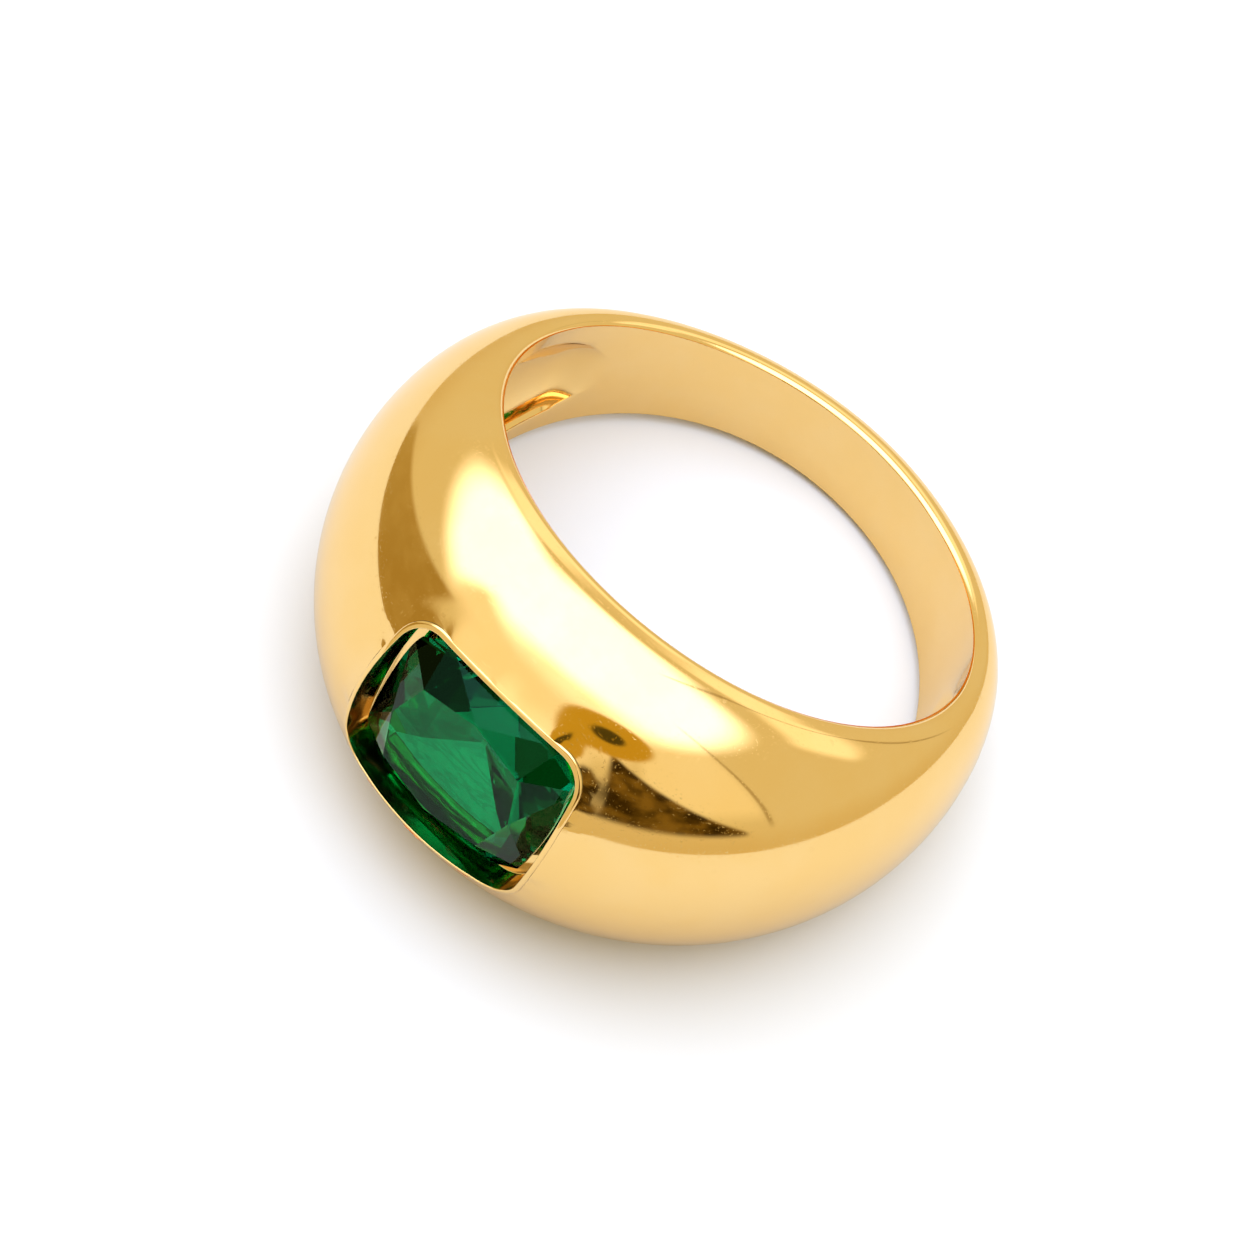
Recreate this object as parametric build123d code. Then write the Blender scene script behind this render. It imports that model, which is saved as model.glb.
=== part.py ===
from build123d import *
from build123d.topology import SkipClean
import math
import os

# ---------------------------------------------------------------- driving dimensions, mm
# Ring frame while modelling: Z is the finger axis, the stone faces -Y, angles run round Z from the stone.
BORE_R = 8.65           # finger hole, 17.3 mm across
FRONT_HALF_WIDTH = 6.07  # half the band's width at the stone
BACK_HALF_WIDTH = 1.52   # half the band's width at the back of the shank
WIDTH_FADE = 1.21        # how quickly the width falls away from the stone
FRONT_HEIGHT = 4.84      # dome crest above the bore at the stone
BACK_HEIGHT = 1.33       # shank crest above the bore at the back
HEIGHT_FADE = 2.10       # how quickly the height falls away from the stone
SIDE_LAND = 0.42         # narrow side face between the bore and the dome
DOME_FULLNESS = 1.92     # section shape: 2 is an ellipse, more is squarer
EDGE_ROUND = 0.20        # softened edge between the bore and the side faces
EDGE_RUN_OUT = 0.012     # the softening's arc runs this far past the bore line
BORE_STRETCHES = 24      # the bore is finished in this many stretches round the finger

WALL = 1.10              # metal left over the scooped-out back of the dome
LIP = 0.80               # bore wall left on each side of the scoop
SCOOP_END = 118.0        # angle from the stone at which the scoop runs out
SCOOP_ROUND = 125.0      # angle at which its width would reach nothing
SCOOP_START = 0.50       # the scoop's section begins this far inside the bore line
SCOOP_FULLNESS = 2.60    # steep sides, round roof

STONE_HALF_L = 3.50      # cushion-cut stone, 7.0 x 6.0 mm, long way round the finger
STONE_HALF_W = 3.00
STONE_BULGE = 0.30       # how far each side bows out
STONE_CORNER_R = 0.90
TABLE_CORNER = (2.02, 1.72)  # the octagonal table: four corners
TABLE_MID = (2.52, 2.18)     # and the middles of its sides
TABLE_DEPTH = 0.52       # table below the dome's crest
CROWN = 0.98             # table down to the girdle
GIRDLE = 0.12            # girdle thickness
PAVILION = 2.55          # girdle down to the culet
CULET_HALF = 0.10        # small flat at the point
CROWN_CORNER = (3.42, 2.02, 2.30, 2.90)  # where the crown's corner facets meet the girdle: (x, z) twice
FACET_REACH = 1.045      # facet corners lie this much outside the girdle, so the facets scallop it
PAVILION_STEP = (1.62, 1.22)  # the pavilion's facets steepen here
PAVILION_STEP_DEPTH = 1.43    # below the girdle

MOUTH_HALF_L = 3.84      # opening of the setting, straight-sided
MOUTH_HALF_W = 3.56
MOUTH_BULGE = 0.35
MOUTH_CORNER_R = 1.30
MOUTH_DEPTH = 2.12       # flat ledge below the girdle, from the crest
RIM = 0.17               # collet metal showing as a thin bright line
BEARING_CLEARANCE = 0.02  # glue line between the pavilion and its bearing
THROAT_IN = 0.78         # the open throat is this much smaller than the girdle, each side
COLLET_DEPTH = 3.30      # collet's open lower end below the crest

CREST_R = BORE_R + FRONT_HEIGHT


# ---------------------------------------------------------------- the band's section round the finger
def nearness(angle):
    return (1 + math.cos(angle)) / 2


def half_width(angle):
    return BACK_HALF_WIDTH + (FRONT_HALF_WIDTH - BACK_HALF_WIDTH) * nearness(angle) ** WIDTH_FADE


def height(angle):
    return BACK_HEIGHT + (FRONT_HEIGHT - BACK_HEIGHT) * nearness(angle) ** HEIGHT_FADE


def dome_radius(angle, u):
    rise = max(0.0, 1 - abs(u) ** DOME_FULLNESS) ** (1 / DOME_FULLNESS)
    return BORE_R + SIDE_LAND + (height(angle) - SIDE_LAND) * rise


def at(angle, radius, z):
    return Vector(radius * math.sin(angle), -radius * math.cos(angle), z)


def scoop_section(angle, base, arch):
    """A closed wire in the half-plane at this angle: an arch over a flat base nearer the axis."""
    top = Edge.make_spline([at(angle, r, z) for r, z in arch])
    corners = [at(angle, base, arch[-1][1]), at(angle, base, arch[0][1])]
    left = Edge.make_line(top @ 1, corners[0])
    under = Edge.make_line(corners[0], corners[1])
    right = Edge.make_line(corners[1], top @ 0)
    return Wire([top, left, under, right])


def dome_section(angle):
    """The band's section: dome, narrow side faces, softened edges, and a tongue reaching into the bore."""
    wide, tongue = half_width(angle), BORE_R - 1.0
    arch = [at(angle, dome_radius(angle, u), u * wide) for u in spread(21)]
    start = BORE_R - EDGE_RUN_OUT
    corner = EDGE_ROUND * (1 - math.sqrt(0.5))

    def side(sign):
        top, low = sign * wide, sign * (wide - EDGE_ROUND)
        flat = at(angle, start + EDGE_ROUND, top)
        middle = at(angle, start + corner, sign * (wide - corner))
        edge = at(angle, start, low)
        return flat, middle, edge, at(angle, tongue, low)

    flat_a, middle_a, edge_a, inner_a = side(-1)
    flat_b, middle_b, edge_b, inner_b = side(1)
    return Wire([
        Edge.make_spline(arch),
        Edge.make_line(arch[-1], flat_b),
        Edge.make_three_point_arc(flat_b, middle_b, edge_b),
        Edge.make_line(edge_b, inner_b),
        Edge.make_line(inner_b, inner_a),
        Edge.make_line(inner_a, edge_a),
        Edge.make_three_point_arc(edge_a, middle_a, flat_a),
        Edge.make_line(flat_a, arch[0]),
    ])


def round_the_finger(sections):
    """One side's loft trimmed at the middle plane, joined to its mirror image."""
    loft_one = Solid.make_loft(sections)
    one_side = loft_one & Pos(20, 0, 0) * Box(40, 60, 60)
    return one_side, mirror(one_side, about=Plane.YZ)


def spread(count):
    """Positions across a section, closer together where it turns down to the sides."""
    return [math.sin(math.pi / 2 * (2 * i / (count - 1) - 1)) for i in range(count)]


def dome_sides():
    return round_the_finger([dome_section(math.radians(step * 10)) for step in range(-1, 20)])


def scoop_depth(angle):
    return (height(angle) - WALL) * (1 - (abs(angle) / math.radians(SCOOP_END)) ** 6)


def scoop_half_width(angle):
    closing = math.sqrt(1 - (abs(angle) / math.radians(SCOOP_ROUND)) ** 12)
    return (half_width(angle) - LIP) * closing


def scoop_sides():
    sections = []
    for degrees in (-12, 0, 12, 24, 36, 48, 60, 72, 84, 94, 102, 109, 115, 119, 122):
        angle = math.radians(degrees)
        base, wide = BORE_R - SCOOP_START, scoop_half_width(angle)
        rise = scoop_depth(angle) + SCOOP_START
        arch = [(base + 0.05 + (rise - 0.05) * (1 - abs(u) ** SCOOP_FULLNESS) ** (1 / 2.2), u * wide)
                for u in spread(17)]
        sections.append(scoop_section(angle, base, arch))
    return round_the_finger(sections)


# ---------------------------------------------------------------- cushion outlines across the stone
def cushion(half_l, half_w, bulge, corner_r, depth):
    """A four-sided outline with bowed sides and round corners, at this depth below the crest."""
    l, w = half_l - bulge, half_w - bulge
    corners = [(l, w), (-l, w), (-l, -w), (l, -w)]
    mids = [(0, half_w), (-half_l, 0), (0, -half_w), (half_l, 0)]
    sides = [ThreePointArc(corners[i], mids[i], corners[(i + 1) % 4]) for i in range(4)]
    flat = make_face(Wire(sides))
    flat = fillet(flat.vertices(), corner_r)
    looking_in = Plane(origin=(0, -CREST_R + depth, 0), x_dir=(1, 0, 0), z_dir=(0, -1, 0))
    return looking_in * flat


def stone_outline(grow, depth):
    corner = max(STONE_CORNER_R + grow, 0.3)
    return cushion(STONE_HALF_L + grow, STONE_HALF_W + grow, STONE_BULGE, corner, depth)


def mouth_outline(grow, depth):
    return cushion(MOUTH_HALF_L + grow, MOUTH_HALF_W + grow, MOUTH_BULGE, MOUTH_CORNER_R + grow, depth)


def prism(outline, down):
    """The outline carried straight towards the finger."""
    return extrude(outline, amount=-down)


GIRDLE_TOP = TABLE_DEPTH + CROWN
GIRDLE_BOTTOM = GIRDLE_TOP + GIRDLE


# ---------------------------------------------------------------- the cut stone
def facet_body(points):
    """The convex body over these corner points, one flat face per facet."""
    count = len(points)
    planes = []
    for i in range(count):
        for j in range(i + 1, count):
            for k in range(j + 1, count):
                normal = (points[j] - points[i]).cross(points[k] - points[i])
                if normal.length < 1e-6:
                    continue
                normal = normal.normalized()
                reach = [(p - points[i]).dot(normal) for p in points]
                if max(reach) > 1e-6 and min(reach) < -1e-6:
                    continue
                if max(reach) > 1e-6:
                    normal = normal * -1
                offset = points[i].dot(normal)
                if not any((normal - n).length < 1e-5 and abs(offset - o) < 1e-5 for n, o in planes):
                    planes.append((normal, offset))
    faces = []
    for normal, offset in planes:
        on = [p for p in points if abs(p.dot(normal) - offset) < 1e-5]
        middle = sum(on, Vector(0, 0, 0)) * (1 / len(on))
        across = (on[0] - middle).normalized()
        along = normal.cross(across)
        on.sort(key=lambda p: math.atan2((p - middle).dot(along), (p - middle).dot(across)))
        faces.append(Face(Wire.make_polygon(on, close=True)))
    return Solid(Shell(faces))


def level(pairs, depth):
    return [Vector(x, -CREST_R + depth, z) for x, z in pairs]


def four_ways(x, z):
    if z == 0:
        return [(x, 0), (-x, 0)]
    if x == 0:
        return [(0, z), (0, -z)]
    return [(x, z), (-x, z), (-x, -z), (x, -z)]


def crown_body():
    """Table and crown facets, carried straight down below the girdle."""
    table = four_ways(*TABLE_CORNER) + four_ways(TABLE_MID[0], 0) + four_ways(0, TABLE_MID[1])
    foot = girdle_corners(FACET_REACH)
    foot_depth = GIRDLE_TOP + (FACET_REACH - 1) * 2.2
    return facet_body(level(table, TABLE_DEPTH) + level(foot, foot_depth) + level(foot, 6.0))


def pavilion_body():
    """Pavilion facets, carried straight up past the crown."""
    belly = girdle_corners(FACET_REACH)
    belly += four_ways(STONE_HALF_L * FACET_REACH, 0) + four_ways(0, STONE_HALF_W * FACET_REACH)
    halfway = four_ways(*PAVILION_STEP)
    point = four_ways(CULET_HALF, CULET_HALF)
    return facet_body(level(belly, -1.0) + level(belly, GIRDLE_BOTTOM - (FACET_REACH - 1) * 2.2)
                      + level(halfway, GIRDLE_BOTTOM + PAVILION_STEP_DEPTH)
                      + level(point, GIRDLE_BOTTOM + PAVILION))


def girdle_corners(reach):
    x1, z1, x2, z2 = CROWN_CORNER
    return four_ways(x1 * reach, z1 * reach) + four_ways(x2 * reach, z2 * reach)


def build_stone():
    block = prism(stone_outline(0, -1.0), 7.0)
    return (block & crown_body()) & pavilion_body()


# ---------------------------------------------------------------- the collet that holds it
def build_collet(outer_skin):
    """A straight-sided cup with a ledge; the ledge's inner edge is cut to the pavilion, the throat stays open."""
    body = prism(mouth_outline(RIM, -1.0), 1.0 + COLLET_DEPTH) & outer_skin
    mouth = prism(mouth_outline(0, -1.5), 1.5 + MOUTH_DEPTH)
    throat = prism(stone_outline(-THROAT_IN, 0), COLLET_DEPTH + 1.0)
    bearing = prism(stone_outline(0, 0), 6.0) & (Pos(0, BEARING_CLEARANCE, 0) * pavilion_body())
    return body - (mouth + throat + bearing)


# ---------------------------------------------------------------- put together in the ring frame
def bore_stretch(index):
    """One slice of the finger hole, cut on its own so that each stretch of its wall is its own face."""
    turn = 360 / BORE_STRETCHES
    on_axis = (Align.NONE, Align.NONE, Align.CENTER)
    return Rot(Z=-90 + (index - 0.5) * turn) * Cylinder(BORE_R, 60, arc_size=turn, align=on_axis)


def build_band():
    """The shell with its scooped-out back and the hole the collet is soldered into, and its plain skin."""
    sides = dome_sides()
    skin = sides[0] + sides[1]
    tools = list(scoop_sides()) + [prism(mouth_outline(RIM, -2.0), 2.0 + COLLET_DEPTH)]
    tools += [bore_stretch(i) for i in range(BORE_STRETCHES)]
    with SkipClean():
        return skin.cut(*[solid for tool in tools for solid in tool.solids()]), skin


def rest_pose():
    """The tilt at which the ring lies on its side, its widest edge and the shank's back edge both down."""
    outline = []
    for i in range(0, 361, 2):
        angle = math.radians(i)
        for u in spread(61):
            p = at(angle, dome_radius(angle, u), u * half_width(angle))
            outline.append((p.X, p.Y, p.Z))

    def lows(tilt):
        down = [(-y * math.sin(tilt) + z * math.cos(tilt), y) for x, y, z in outline]
        return min(d for d, y in down if y < 0), min(d for d, y in down if y > 0)

    low, high = math.radians(2), math.radians(30)
    for _ in range(50):
        middle = (low + high) / 2
        front, back = lows(middle)
        if front < back:
            low = middle
        else:
            high = middle
    tilt = (low + high) / 2
    across = [y * math.cos(tilt) + z * math.sin(tilt) for x, y, z in outline]
    return tilt, (min(across) + max(across)) / 2, min(lows(tilt))


def place(shape):
    """From the ring frame to the way it lies: +Z up, stone towards -Y, z = 0 at the surface it lies on."""
    tilt, middle_y, bottom = rest_pose()
    return Pos(0, -middle_y, -bottom) * Rot(X=-math.degrees(tilt)) * shape


def main():
    os.makedirs("parts", exist_ok=True)
    band, skin = build_band()
    collet = build_collet(skin)
    stone = build_stone()
    nodes = {"dome_band": band, "stone_collet": collet, "cushion_stone": stone}
    for name, shape in nodes.items():
        export_step(place(shape), f"parts/{name}.step")


if __name__ == "__main__":
    main()
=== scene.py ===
import math

import bpy
from mathutils import Matrix, Vector


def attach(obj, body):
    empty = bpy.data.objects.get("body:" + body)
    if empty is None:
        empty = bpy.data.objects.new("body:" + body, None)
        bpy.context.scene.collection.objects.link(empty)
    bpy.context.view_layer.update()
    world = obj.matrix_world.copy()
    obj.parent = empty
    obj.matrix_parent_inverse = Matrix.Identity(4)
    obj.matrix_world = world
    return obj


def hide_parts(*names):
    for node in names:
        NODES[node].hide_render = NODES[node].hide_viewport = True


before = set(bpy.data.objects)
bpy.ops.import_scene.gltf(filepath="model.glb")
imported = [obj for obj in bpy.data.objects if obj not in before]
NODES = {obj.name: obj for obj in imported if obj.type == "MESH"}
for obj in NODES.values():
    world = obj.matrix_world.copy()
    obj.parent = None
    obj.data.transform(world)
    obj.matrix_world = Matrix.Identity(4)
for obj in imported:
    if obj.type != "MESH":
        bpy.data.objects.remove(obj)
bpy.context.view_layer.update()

MM = 0.001

# The ring as it lies: finger axis leaning back, stone to the front.
TILT = math.radians(14.0405)
RING_CENTRE = Vector((0.0, 1.777, 3.6882)) * MM
OUT = Vector((0, -math.cos(TILT), math.sin(TILT)))    # from the finger axis through the stone
SIDE = Vector((0, math.sin(TILT), math.cos(TILT)))    # along the finger axis

# The band, in mm and degrees from the stone.
BORE_R = 8.65
LAND = 0.30                    # side face between the bore and the dome
FRONT_HALF_WIDTH, BACK_HALF_WIDTH, WIDTH_FADE = 6.07, 1.52, 1.21
FRONT_HEIGHT, BACK_HEIGHT, HEIGHT_FADE = 4.84, 1.33, 2.10
WALL = 1.10                    # metal over the scoop
LIP = 0.80                     # bore wall left each side of the scoop
SCOOP_FADE, SCOOP_END = 107.0, 117.5
SCOOP_ROUNDING = 18            # how square the scoop's end is
SCOOP_NARROWEST = 0.42         # share of the scoop's width kept past its end
ROUND = 64                     # points round one section
LIP_STEPS = 5                  # of them, those that make the lip on each side
STATIONS = sorted({*range(0, 181, 5), 102.5, 107.5, 112.5, 117.5})
EDGE_ROUND = 0.20              # softened edge between bore and side face

# The setting's opening, in mm.
MOUTH_HALF_L, MOUTH_HALF_W, MOUTH_BOW, MOUTH_CORNER = 3.84, 3.56, 0.35, 1.30
DOME_FROM, CUTTER_FROM, RIM_FROM = 11.5, 11.4, 12.1    # heights along OUT
CUTTER_REACH = 3.0             # the cutter is drawn out this far past the dome
FLARE_RISE, FLARE_GRIP, FLARE_REACH = 0.14, 0.17, 0.85
RIM_RISE, RIM_BEVEL = 0.15, 0.055
WELD, FLAT = 0.002, math.radians(0.5)

# The stone's heights along OUT, in metres; a pair is where a change starts and ends below the table.
TABLE_DEPTH = 0.52
TABLE_AT = (BORE_R + FRONT_HEIGHT - TABLE_DEPTH) * MM + RING_CENTRE.dot(OUT)
TABLE_FACE = (0.00008, 0.00002)
CROWN_FACES = (0.00112, 0.00100)
# where the painted shade on the cup's walls starts and ends
CUP_WALLS = (0.00125, 0.00105)

# Finishes, red green blue.
GOLD, GOLD_WARM = (0.950, 0.655, 0.255), (0.955, 0.675, 0.285)
# painted shade: the near-black gold that darkens the collet's walls above the stone's girdle
GOLD_IN_PAINTED_SHADE = (0.05, 0.052, 0.016)
TABLE_GREEN, TABLE_CLOUD = (0.0, 0.28, 0.085), (0.0, 0.18, 0.06)
VEIL_GREEN = (0.0, 0.09, 0.030)
# painted shade: the crown faces get a darker green than the table and the pavilion
CROWN_SHADED_GREEN, PAVILION_GREEN = (0.0, 0.11, 0.04), (0.0, 0.55, 0.17)
STONE_SHEEN = (0.08, 0.36, 0.20, 1)
PAPER_LIT, PAPER_SEEN = (0.605, 0.592, 0.545), (0.725, 0.755, 0.775)

# The studio's light, red green blue: over 2 is lit paper, near 1 a plain wall, near 0 a black flag.
WALL_LOW, WALL_HIGH = (0.74, 0.60, 0.33), (0.80, 0.70, 0.46)
SCREEN_LEFT, SCREEN_RIGHT = (0.50, 0.36, 0.12), (0.42, 0.28, 0.07)
SCREEN_MOTTLE = (0.56, 0.42, 0.16)
RIGHT_WALL, LEFT_PANEL, FRONT_PANEL = (1.00, 0.90, 0.66), (2.75, 2.85, 3.25), (1.12, 1.0, 0.78)
CEILING, CEILING_DULL, BACK_WALL = (2.8, 2.9, 3.3), (1.1, 1.0, 0.8), (1.30, 1.22, 1.02)
SEAM, FLAG, FLAG_MOTTLE = (0.30, 0.20, 0.06), (0.04, 0.022, 0.002), (0.22, 0.13, 0.02)
AMBER, AMBER_EYE, BACKDROP = (0.60, 0.37, 0.03), (0.08, 0.06, 0.01), (1.0, 1.0, 1.0)


# ---------------------------------------------------------------- node helpers
def link(tree, source, target):
    tree.links.new(source, target)


def maths(tree, operation, a, b=None, c=None):
    node = tree.nodes.new("ShaderNodeMath")
    node.operation = operation
    for slot, value in enumerate((a, b, c)):
        if value is None:
            continue
        if isinstance(value, (int, float)):
            node.inputs[slot].default_value = value
        else:
            link(tree, value, node.inputs[slot])
    return node.outputs[0]


def rise_over(tree, value, low, high):
    """0 below low, 1 above high, smooth between."""
    node = tree.nodes.new("ShaderNodeMapRange")
    node.interpolation_type = "SMOOTHSTEP"
    link(tree, value, node.inputs["Value"])
    node.inputs["From Min"].default_value = low
    node.inputs["From Max"].default_value = high
    return node.outputs["Result"]


def fall_over(tree, value, low, high):
    """1 below low, 0 above high, smooth between."""
    return maths(tree, "SUBTRACT", 1.0, rise_over(tree, value, low, high))


def mix(tree, factor, a, b):
    node = tree.nodes.new("ShaderNodeMix")
    node.data_type = "RGBA"
    if isinstance(factor, (int, float)):
        node.inputs[0].default_value = factor
    else:
        link(tree, factor, node.inputs[0])
    for socket, value in ((node.inputs[6], a), (node.inputs[7], b)):
        if isinstance(value, tuple):
            socket.default_value = (*value, 1.0)
        else:
            link(tree, value, socket)
    return node.outputs[2]


# ---------------------------------------------------------------- studio
def studio_world():
    """A white tent: bright overhead and behind, warm walls, two dark screens by the camera.

    Places on the tent are degrees of turn from the front, positive to the right, and of rise.
    """
    world = bpy.data.worlds.new("studio")
    bpy.context.scene.world = world
    world.use_nodes = True
    tree = world.node_tree
    tree.nodes.clear()
    place = tree.nodes.new("ShaderNodeTexCoord").outputs["Generated"]
    split = tree.nodes.new("ShaderNodeSeparateXYZ")
    link(tree, place, split.inputs[0])
    x, y, z = split.outputs
    to_degrees = 180 / math.pi
    turn = maths(tree, "ARCTAN2", x, maths(tree, "MULTIPLY", y, -1.0))
    turn = maths(tree, "MULTIPLY", turn, to_degrees)
    rise = maths(tree, "MULTIPLY", maths(tree, "ARCSINE", z), to_degrees)

    def times(a, b):
        return maths(tree, "MULTIPLY", a, b)

    def window(left, right, low, high, soft_turn, soft_rise):
        mask = times(rise_over(tree, turn, left - soft_turn, left + soft_turn),
                     fall_over(tree, turn, right - soft_turn, right + soft_turn))
        mask = times(mask, rise_over(tree, rise, low - soft_rise, low + soft_rise))
        return times(mask, fall_over(tree, rise, high - soft_rise, high + soft_rise))

    def oval(turn_at, rise_at, wide, tall, soft):
        a = maths(tree, "DIVIDE", maths(tree, "SUBTRACT", turn, turn_at), wide)
        b = maths(tree, "DIVIDE", maths(tree, "SUBTRACT", rise, rise_at), tall)
        reach = maths(tree, "SQRT", maths(tree, "ADD", times(a, a), times(b, b)))
        return fall_over(tree, reach, 1 - soft, 1 + soft)

    def slant(slope, turn_at, rise_at, soft):
        """1 below a line through (turn_at, rise_at) that climbs slope degrees for each of turn."""
        line = times(maths(tree, "SUBTRACT", turn, turn_at), slope)
        line = maths(tree, "ADD", line, rise_at)
        return fall_over(tree, maths(tree, "SUBTRACT", rise, line), -soft, soft)

    clutter = tree.nodes.new("ShaderNodeTexNoise")
    link(tree, place, clutter.inputs["Vector"])
    clutter.inputs["Scale"].default_value = 7.0
    clutter.inputs["Detail"].default_value = 3.5
    mottle = rise_over(tree, clutter.outputs["Fac"], 0.38, 0.68)

    screen = times(window(-106, -50, -60, 30, 3, 4), slant(0.65, -76, 11, 2.0))
    screen_colour = mix(tree, rise_over(tree, turn, -104, -60), SCREEN_LEFT, SCREEN_RIGHT)
    screen_colour = mix(tree, times(mottle, 0.35), screen_colour, SCREEN_MOTTLE)
    back_wall = maths(tree, "MAXIMUM", window(-181, -148, 21, 37, 5, 3),
                      window(140, 181, 21, 37, 5, 3))
    seams = maths(tree, "ADD", window(84, 85.5, 2, 60, 0.5, 4),
                  window(164, 165.5, 2, 60, 0.5, 4))
    flag = times(window(33, 77, -3, 34, 1.5, 2), slant(-0.80, 37, 31, 1.5))
    path = tree.nodes.new("ShaderNodeLightPath")

    colour = mix(tree, rise_over(tree, rise, -14.0, 6.0), WALL_LOW, WALL_HIGH)
    for mask, over in ((screen, screen_colour),
                       (window(45, 84, 8, 95, 3, 6), RIGHT_WALL),
                       (window(-146, -56, 31, 95, 7, 8), LEFT_PANEL),
                       (window(-60, 40, 30, 95, 8, 8), FRONT_PANEL),
                       (rise_over(tree, rise, 44.0, 58.0), CEILING),
                       (times(oval(5, 52, 45, 12, 0.5), 0.8), CEILING_DULL),
                       (back_wall, BACK_WALL),
                       (times(seams, 0.7), SEAM),
                       (flag, mix(tree, mottle, FLAG, FLAG_MOTTLE)),
                       (oval(30, 43, 22, 11, 0.10), AMBER),
                       (oval(31, 43, 8, 4, 0.2), AMBER_EYE),
                       (path.outputs["Is Camera Ray"], BACKDROP)):
        colour = mix(tree, mask, colour, over)
    back = tree.nodes.new("ShaderNodeBackground")
    link(tree, colour, back.inputs["Color"])
    out = tree.nodes.new("ShaderNodeOutputWorld")
    link(tree, back.outputs[0], out.inputs["Surface"])


def paper_floor():
    bpy.ops.object.select_all(action="DESELECT")
    bpy.ops.mesh.primitive_circle_add(vertices=96, radius=44 * MM, fill_type="NGON",
                                      location=(0, 0, -0.0001))
    floor = bpy.context.object
    floor.name = "floor"
    paper = bpy.data.materials.new("white_paper")
    paper.use_nodes = True
    tree = paper.node_tree
    shader = tree.nodes["Principled BSDF"]
    path = tree.nodes.new("ShaderNodeLightPath")
    link(tree, mix(tree, path.outputs["Is Camera Ray"], PAPER_LIT, PAPER_SEEN),
         shader.inputs["Base Color"])
    shader.inputs["Roughness"].default_value = 0.9
    shader.inputs["Specular IOR Level"].default_value = 0.1
    floor.data.materials.append(paper)


def camera():
    """Long lens, looking down on the ring from its front right, turned a little anticlockwise."""
    data = bpy.data.cameras.new("camera")
    data.lens = 203.6
    data.sensor_width = 36.0
    data.clip_start, data.clip_end = 0.01, 10.0
    eye = bpy.data.objects.new("camera", data)
    bpy.context.collection.objects.link(eye)
    stands_at = Vector((40.688, -110.609, 194.926)) * MM
    right = Vector((0.70645, 0.66901, 0.23099)).normalized()
    toward = Vector((0.1837, -0.48851, 0.853)).normalized()
    up = toward.cross(right).normalized()
    right = up.cross(toward)
    turn = Matrix((right, up, toward)).transposed()
    eye.matrix_world = Matrix.Translation(stands_at) @ turn.to_4x4()
    bpy.context.scene.camera = eye


# ---------------------------------------------------------------- modelling helpers
def deselect():
    if bpy.context.object and bpy.context.object.mode != "OBJECT":
        bpy.ops.object.mode_set(mode="OBJECT")
    bpy.ops.object.select_all(action="DESELECT")


def only(piece):
    deselect()
    piece.select_set(True)
    bpy.context.view_layer.objects.active = piece


def pick(piece, test, kind="VERT"):
    """Selects vertices or edges of one piece, by place or by number, and leaves it in edit mode."""
    only(piece)
    bpy.ops.object.mode_set(mode="EDIT")
    bpy.ops.mesh.select_mode(type=kind)
    bpy.ops.mesh.select_all(action="DESELECT")
    bpy.ops.object.mode_set(mode="OBJECT")
    mesh = piece.data
    if kind == "VERT":
        for v in mesh.vertices:
            v.select = v.index in test if isinstance(test, set) else test(v.co)
    else:
        for e in mesh.edges:
            e.select = all(test(mesh.vertices[i].co) for i in e.vertices)
    bpy.ops.object.mode_set(mode="EDIT")


def pick_all(piece, kind="VERT"):
    only(piece)
    bpy.ops.object.mode_set(mode="EDIT")
    bpy.ops.mesh.select_mode(type=kind)
    bpy.ops.mesh.select_all(action="SELECT")


def face_outwards():
    bpy.ops.mesh.select_all(action="SELECT")
    bpy.ops.mesh.normals_make_consistent(inside=False)


def finish_edit():
    bpy.ops.object.mode_set(mode="OBJECT")


def crease(piece, test, sharpness):
    pick(piece, test, "EDGE")
    bpy.ops.transform.edge_crease(value=sharpness)
    finish_edit()


def apply_modifier(piece, kind, **settings):
    only(piece)
    modifier = piece.modifiers.new(kind.lower(), kind)
    for key, value in settings.items():
        setattr(modifier, key, value)
    bpy.ops.object.modifier_apply(modifier=modifier.name)


def lie_down(piece):
    """From the ring's own frame, finger axis up, to the way it lies on the table."""
    only(piece)
    piece.rotation_euler = (-TILT, 0, 0)
    piece.location = RING_CENTRE
    bpy.ops.object.transform_apply(location=True, rotation=True, scale=True)


def dress(piece, smooth_angle, finish):
    only(piece)
    bpy.ops.object.shade_smooth_by_angle(angle=math.radians(smooth_angle))
    piece.data.materials.clear()
    piece.data.materials.append(finish)


# ---------------------------------------------------------------- the band's sizes round the finger
def nearness(angle):
    """1 at the stone, 0 at the back of the shank."""
    return (1 + math.cos(angle)) / 2


def half_width(angle):
    return BACK_HALF_WIDTH + (FRONT_HALF_WIDTH - BACK_HALF_WIDTH) * nearness(angle) ** WIDTH_FADE


def dome_height(angle):
    return BACK_HEIGHT + (FRONT_HEIGHT - BACK_HEIGHT) * nearness(angle) ** HEIGHT_FADE


def scoop_width(turned):
    """Half the scoop's width, round at its end; past it the lines run on in the plain bore."""
    full = half_width(math.radians(turned)) - LIP
    rounded = math.sqrt(max(0.0, 1 - (turned / SCOOP_END) ** SCOOP_ROUNDING))
    return full * max(SCOOP_NARROWEST, rounded)


def scoop_depth(turned):
    """Depth of the scoop above the bore line, running out gently before its end."""
    full = dome_height(math.radians(turned)) - WALL
    fade = min(1.0, max(0.0, (turned - SCOOP_FADE) / (SCOOP_END - SCOOP_FADE)))
    return max(0.0, full) * (0.5 + 0.5 * math.cos(math.pi * fade))


# Places on the band while it still stands in the ring's own frame, finger axis up.
def angle_of(v):
    return math.atan2(v.x, -v.y)


def from_axis(v):
    return math.hypot(v.x, v.y) / MM


def share(v):
    """How far across the band's half width a point lies, 0 in the middle and 1 at the side."""
    return abs(v.z) / MM / half_width(angle_of(v))


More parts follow.
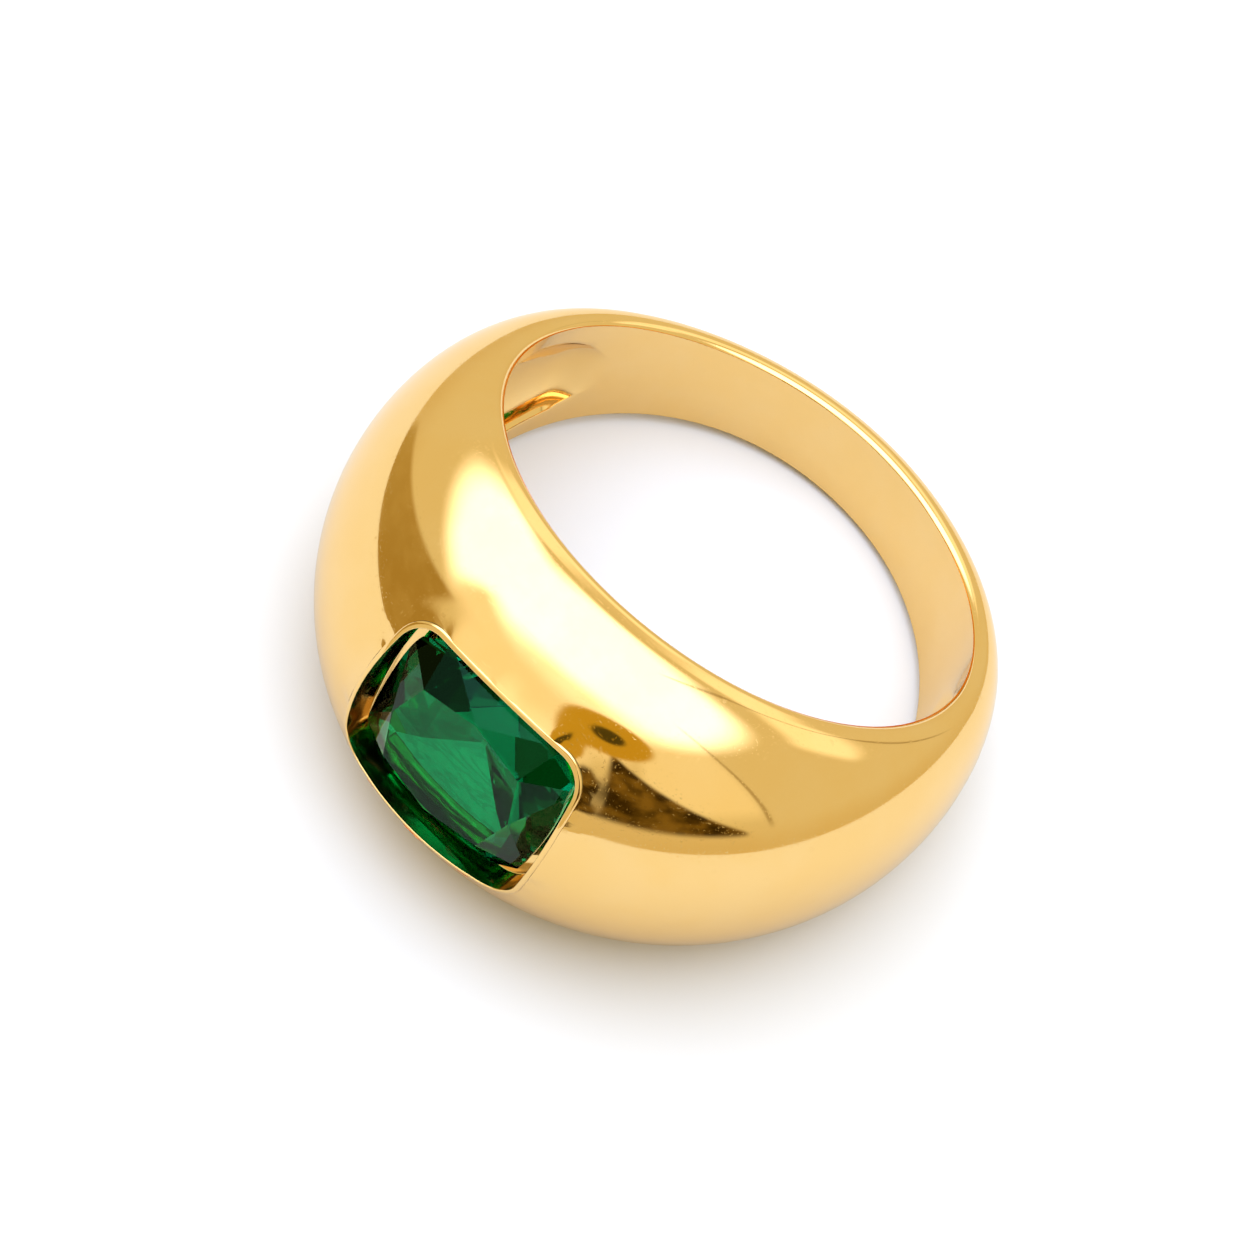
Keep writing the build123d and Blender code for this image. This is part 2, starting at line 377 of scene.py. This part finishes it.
def on_bore(v):
    return abs(from_axis(v) - BORE_R) < 0.012


def at_bore_edge(v):
    return on_bore(v) and share(v) > 0.989


def at_scoop_edge(v):
    turned = abs(math.degrees(angle_of(v)))
    return turned < 111 and on_bore(v) and abs(abs(v.z) / MM - scoop_width(turned)) < 0.02


def at_side(v):
    return share(v) > 0.9995


def at_dome_foot(v):
    """The first line of the dome above the side face."""
    return 0.9945 < share(v) < 0.9958 and from_axis(v) > BORE_R + LAND + 0.05


# ---------------------------------------------------------------- the band
def band_section(angle):
    """A circle stretched to the dome, its underside flattened or pushed up into the scoop."""
    wide, tall = half_width(angle) * MM, (dome_height(angle) - LAND) * MM
    turned = abs(math.degrees(angle))
    deselect()
    bpy.ops.mesh.primitive_circle_add(vertices=ROUND, radius=1.0)
    piece = bpy.context.object
    bpy.ops.object.mode_set(mode="EDIT")
    bpy.ops.transform.resize(value=(wide, tall, 1))
    step = 2 * math.pi / ROUND
    inner_x = wide * math.cos(step * (LIP_STEPS + 0.5))
    edge_x = wide * math.cos(step * (LIP_STEPS + 1))
    edge_y = -tall * math.sin(step * (LIP_STEPS + 1))
    narrower = scoop_width(turned) * MM / edge_x
    upturned = -scoop_depth(turned) * MM / (tall + edge_y)
    pick(piece, lambda v: v.y < -1e-6 and abs(v.x) < inner_x)
    bpy.ops.transform.resize(value=(narrower, upturned, 1), center_override=(0, edge_y, 0))
    bpy.ops.transform.translate(value=(0, -edge_y, 0))
    pick(piece, lambda v: v.y < -1e-6)
    bpy.ops.transform.resize(value=(1, 0, 1), center_override=(0, 0, 0))
    finish_edit()
    return piece


def stand_section(piece, angle, upper):
    """Lifts the dome half clear of the bore line by the side land, and stands it at its angle."""
    pick(piece, upper)
    bpy.ops.transform.translate(value=(0, LAND * MM, 0))
    finish_edit()
    out = Vector((math.sin(angle), -math.cos(angle), 0))
    along = Vector((0, 0, 1))
    across = along.cross(out)
    place = Matrix((along, out, across)).transposed().to_4x4()
    piece.matrix_world = Matrix.Translation(out * BORE_R * MM) @ place


def bridge_band():
    """One section at each station round the finger, bridged into a closed band."""
    deselect()
    bpy.ops.mesh.primitive_circle_add(vertices=ROUND, radius=1.0)
    probe = bpy.context.object
    upper = {v.index for v in probe.data.vertices if v.co.y > -1e-6}
    bpy.data.objects.remove(probe)
    one_side = [math.radians(a) for a in STATIONS]
    other_side = [math.radians(-a) for a in reversed(STATIONS[1:-1])]
    rings = []
    for angle in one_side + other_side:
        piece = band_section(angle)
        stand_section(piece, angle, upper)
        rings.append(piece)
    deselect()
    for piece in rings:
        piece.select_set(True)
    bpy.context.view_layer.objects.active = rings[0]
    bpy.ops.object.transform_apply(location=True, rotation=True, scale=True)
    bpy.ops.object.join()
    band = bpy.context.object
    band.name = "band"
    pick_all(band, "EDGE")
    bpy.ops.mesh.bridge_edge_loops(type="CLOSED", use_merge=False)
    face_outwards()
    finish_edit()
    return band


def copy_of_collet():
    only(NODES["stone_collet"])
    bpy.ops.object.duplicate()
    return bpy.context.object


def mouth_cutter():
    """The collet's outside carried out past the dome, to cut the opening it is soldered into."""
    cutter = copy_of_collet()
    pick_all(cutter)
    bpy.ops.mesh.convex_hull()
    finish_edit()
    pick(cutter, lambda v: (v - RING_CENTRE).dot(OUT) > CUTTER_FROM * MM)
    bpy.ops.transform.translate(value=OUT * CUTTER_REACH * MM)
    face_outwards()
    finish_edit()
    return cutter


def mouth_distance(v):
    """How far outside the collet's outline a point of the dome lies, in mm; large off the front."""
    p = v - RING_CENTRE
    if p.dot(OUT) < DOME_FROM * MM:
        return 99.0
    x, z = abs(p.x) / MM, abs(p.dot(SIDE)) / MM
    bow_l = MOUTH_BOW * (1 - (z / MOUTH_HALF_W) ** 2)
    bow_w = MOUTH_BOW * (1 - (x / MOUTH_HALF_L) ** 2)
    past_l = x - (MOUTH_HALF_L - MOUTH_BOW + bow_l)
    past_w = z - (MOUTH_HALF_W - MOUTH_BOW + bow_w)
    corner_l = x - (MOUTH_HALF_L - MOUTH_BOW - MOUTH_CORNER)
    corner_w = z - (MOUTH_HALF_W - MOUTH_BOW - MOUTH_CORNER)
    if corner_l > 0 and corner_w > 0:
        return math.hypot(corner_l, corner_w) - MOUTH_CORNER
    return max(past_l, past_w)


def model_band(gold):
    band = bridge_band()
    pick(band, at_bore_edge, "EDGE")
    bpy.ops.mesh.bevel(offset=EDGE_ROUND * MM, segments=3, affect="EDGES")
    finish_edit()
    crease(band, at_scoop_edge, 0.85)
    crease(band, at_side, 0.7)
    crease(band, at_dome_foot, 0.5)
    apply_modifier(band, "SUBSURF", levels=2, render_levels=2)
    lie_down(band)
    # the dome flares into a thin lip round the setting
    pick(band, lambda v: abs(mouth_distance(v)) < FLARE_GRIP)
    bpy.ops.transform.translate(value=OUT * FLARE_RISE * MM, use_proportional_edit=True,
                                proportional_edit_falloff="SHARP",
                                proportional_size=FLARE_REACH * MM)
    finish_edit()
    cutter = mouth_cutter()
    apply_modifier(band, "BOOLEAN", operation="DIFFERENCE", object=cutter, solver="EXACT")
    bpy.data.objects.remove(cutter)
    dress(band, 32, gold)
    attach(band, "root")
    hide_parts("dome_band")


# ---------------------------------------------------------------- the collet
def model_collet(gold):
    """The collet with its rim burnished up to the flared opening and its edges softened."""
    collet = copy_of_collet()
    collet.name = "collet"
    pick_all(collet)
    bpy.ops.mesh.remove_doubles(threshold=WELD * MM)
    bpy.ops.mesh.dissolve_limited(angle_limit=FLAT)
    finish_edit()
    pick(collet, lambda v: (v - RING_CENTRE).dot(OUT) > RIM_FROM * MM)
    bpy.ops.transform.translate(value=OUT * RIM_RISE * MM)
    face_outwards()
    finish_edit()
    apply_modifier(collet, "BEVEL", width=RIM_BEVEL * MM, segments=3, limit_method="ANGLE",
                   angle_limit=math.radians(50))
    dress(collet, 40, gold)
    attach(collet, "root")
    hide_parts("stone_collet")


# ---------------------------------------------------------------- material helpers
def group(name, outputs):
    """A shader node group with the given outputs, its Object coordinates ready."""
    tree = bpy.data.node_groups.new(name, "ShaderNodeTree")
    for label, kind in outputs:
        tree.interface.new_socket(label, in_out="OUTPUT", socket_type=kind)
    place = tree.nodes.new("ShaderNodeTexCoord").outputs["Object"]
    return tree, tree.nodes.new("NodeGroupOutput"), place


def place_group(material_tree, node_group):
    node = material_tree.nodes.new("ShaderNodeGroup")
    node.node_tree = node_group
    return node


def new_material(name):
    material = bpy.data.materials.new(name)
    material.use_nodes = True
    return material, material.node_tree, material.node_tree.nodes["Principled BSDF"]


def height_out(tree, place):
    """How far out a point lies along OUT."""
    split = tree.nodes.new("ShaderNodeSeparateXYZ")
    link(tree, place, split.inputs[0])
    return maths(tree, "ADD", maths(tree, "MULTIPLY", split.outputs[1], OUT.y),
                 maths(tree, "MULTIPLY", split.outputs[2], OUT.z))


def above_table_by(tree, height, below):
    """1 from the second of the two depths below the table upwards, 0 under the first."""
    return rise_over(tree, height, TABLE_AT - below[0], TABLE_AT - below[1])


def stretched(tree, place, scale, turn):
    node = tree.nodes.new("ShaderNodeMapping")
    link(tree, place, node.inputs["Vector"])
    node.inputs["Scale"].default_value = scale
    node.inputs["Rotation"].default_value = turn
    return node.outputs[0]


def noise(tree, place, scale, detail, rough=0.5, warp=0.0):
    node = tree.nodes.new("ShaderNodeTexNoise")
    link(tree, place, node.inputs["Vector"])
    node.inputs["Scale"].default_value = scale
    node.inputs["Detail"].default_value = detail
    node.inputs["Roughness"].default_value = rough
    node.inputs["Distortion"].default_value = warp
    return node.outputs["Fac"]


def bump(tree, height, distance, normal=None):
    node = tree.nodes.new("ShaderNodeBump")
    link(tree, height, node.inputs["Height"])
    node.inputs["Distance"].default_value = distance
    node.inputs["Strength"].default_value = 1.0
    if normal:
        link(tree, normal, node.inputs["Normal"])
    return node.outputs[0]


# ---------------------------------------------------------------- finishes
def polish_marks():
    """Hand polish on gold: a slow swell left by the buff, hairlines, dull pits, warmer patches."""
    tree, out, place = group("polish_marks", (("Tint", "NodeSocketColor"),
                                              ("Roughness", "NodeSocketFloat"),
                                              ("Normal", "NodeSocketVector")))
    swell = noise(tree, place, 230.0, 1.5)
    lines_a = noise(tree, stretched(tree, place, (14000, 14000, 700), (0.5, 0.2, 0.0)), 1.0, 2.0)
    lines_b = noise(tree, stretched(tree, place, (900, 15000, 15000), (0.0, 0.6, 0.4)), 1.0, 2.0)
    hair = maths(tree, "MAXIMUM", rise_over(tree, lines_a, 0.66, 0.74),
                 rise_over(tree, lines_b, 0.66, 0.74))
    pits = rise_over(tree, noise(tree, place, 2600.0, 0.0), 0.78, 0.84)
    cloud = noise(tree, place, 420.0, 4.0, 0.6)
    link(tree, mix(tree, rise_over(tree, cloud, 0.35, 0.7), GOLD, GOLD_WARM), out.inputs["Tint"])
    rough = maths(tree, "MULTIPLY_ADD", rise_over(tree, cloud, 0.3, 0.75), 0.035, 0.045)
    rough = maths(tree, "ADD", rough, maths(tree, "MULTIPLY", hair, 0.07))
    rough = maths(tree, "ADD", rough, maths(tree, "MULTIPLY", pits, 0.12))
    link(tree, rough, out.inputs["Roughness"])
    smooth = maths(tree, "SUBTRACT", 1.0, maths(tree, "MAXIMUM", hair, pits))
    shape = bump(tree, smooth, 0.0000006, bump(tree, swell, 0.000010))
    link(tree, shape, out.inputs["Normal"])
    return tree


def cup_shade():
    """Painted shade in the setting: 1 on the walls above the stone's girdle, where shade falls
    between stone and wall, 0 on the rim.
    """
    tree, out, place = group("cup_shade", (("Dark", "NodeSocketFloat"),))
    facing = tree.nodes.new("ShaderNodeTexCoord").outputs["Normal"]
    dot = tree.nodes.new("ShaderNodeVectorMath")
    dot.operation = "DOT_PRODUCT"
    link(tree, facing, dot.inputs[0])
    dot.inputs[1].default_value = OUT
    wall = fall_over(tree, dot.outputs["Value"], 0.02, 0.30)
    above = above_table_by(tree, height_out(tree, place), CUP_WALLS)
    patch = rise_over(tree, noise(tree, place, 1500.0, 3.0), 0.35, 0.65)
    uneven = maths(tree, "MULTIPLY_ADD", patch, 0.12, 0.88)
    dark = maths(tree, "MULTIPLY", maths(tree, "MULTIPLY", wall, above), uneven)
    link(tree, dark, out.inputs["Dark"])
    return tree


def stone_veils():
    """Inside the green stone: wispy dark veils, and painted shade that leaves the crown faces darker
    than the table and pavilion.
    """
    tree, out, place = group("stone_veils", (("Tint", "NodeSocketColor"),
                                             ("Roughness", "NodeSocketFloat")))
    grain = stretched(tree, place, (260, 700, 500), (0.3, 0.1, 0.5))
    drift = noise(tree, grain, 1.0, 6.0, 0.62, 1.4)
    off_centre = maths(tree, "ABSOLUTE", maths(tree, "SUBTRACT", drift, 0.5))
    veil = maths(tree, "MULTIPLY", fall_over(tree, off_centre, 0.0, 0.05), 0.6)
    cloud = rise_over(tree, noise(tree, place, 330.0, 5.0, 0.6, 0.6), 0.42, 0.68)
    tint = mix(tree, cloud, TABLE_GREEN, TABLE_CLOUD)
    tint = mix(tree, veil, tint, VEIL_GREEN)
    height = height_out(tree, place)
    # painted shade: the crown faces between girdle and table are tinted darker than the pavilion
    # below
    cut = mix(tree, above_table_by(tree, height, CROWN_FACES), PAVILION_GREEN, CROWN_SHADED_GREEN)
    link(tree, mix(tree, above_table_by(tree, height, TABLE_FACE), cut, tint), out.inputs["Tint"])
    fine = rise_over(tree, noise(tree, place, 9000.0, 2.0), 0.55, 0.8)
    link(tree, maths(tree, "MULTIPLY", fine, 0.012), out.inputs["Roughness"])
    return tree


def gold_plate(marks_group):
    gold, tree, shader = new_material("polished_gold")
    marks = place_group(tree, marks_group)
    link(tree, marks.outputs["Tint"], shader.inputs["Base Color"])
    link(tree, marks.outputs["Roughness"], shader.inputs["Roughness"])
    link(tree, marks.outputs["Normal"], shader.inputs["Normal"])
    shader.inputs["Metallic"].default_value = 1.0
    return gold


def collet_gold(marks_group):
    """The band's gold, with painted shade darkening the cup's walls."""
    gold, tree, shader = new_material("collet_gold")
    marks = place_group(tree, marks_group)
    dark = place_group(tree, cup_shade()).outputs["Dark"]
    # painted shade: the gold is darkened on the cup's walls above the girdle, where shade falls
    link(tree, mix(tree, dark, marks.outputs["Tint"], GOLD_IN_PAINTED_SHADE), shader.inputs["Base Color"])
    link(tree, maths(tree, "MULTIPLY_ADD", dark, 0.10, marks.outputs["Roughness"]),
         shader.inputs["Roughness"])
    link(tree, marks.outputs["Normal"], shader.inputs["Normal"])
    shader.inputs["Metallic"].default_value = 1.0
    return gold


def green_stone():
    stone, tree, shader = new_material("green_stone")
    veils = place_group(tree, stone_veils())
    link(tree, veils.outputs["Tint"], shader.inputs["Base Color"])
    link(tree, veils.outputs["Roughness"], shader.inputs["Roughness"])
    shader.inputs["Specular Tint"].default_value = STONE_SHEEN
    shader.inputs["IOR"].default_value = 1.57
    shader.inputs["Transmission Weight"].default_value = 1.0
    return stone


# ---------------------------------------------------------------- the scene
studio_world()
paper_floor()
camera()
marks_group = polish_marks()
model_band(gold_plate(marks_group))
model_collet(collet_gold(marks_group))
stone = NODES["cushion_stone"]
stone.data.materials.clear()
stone.data.materials.append(green_stone())
bpy.context.scene.view_settings.view_transform = "Standard"
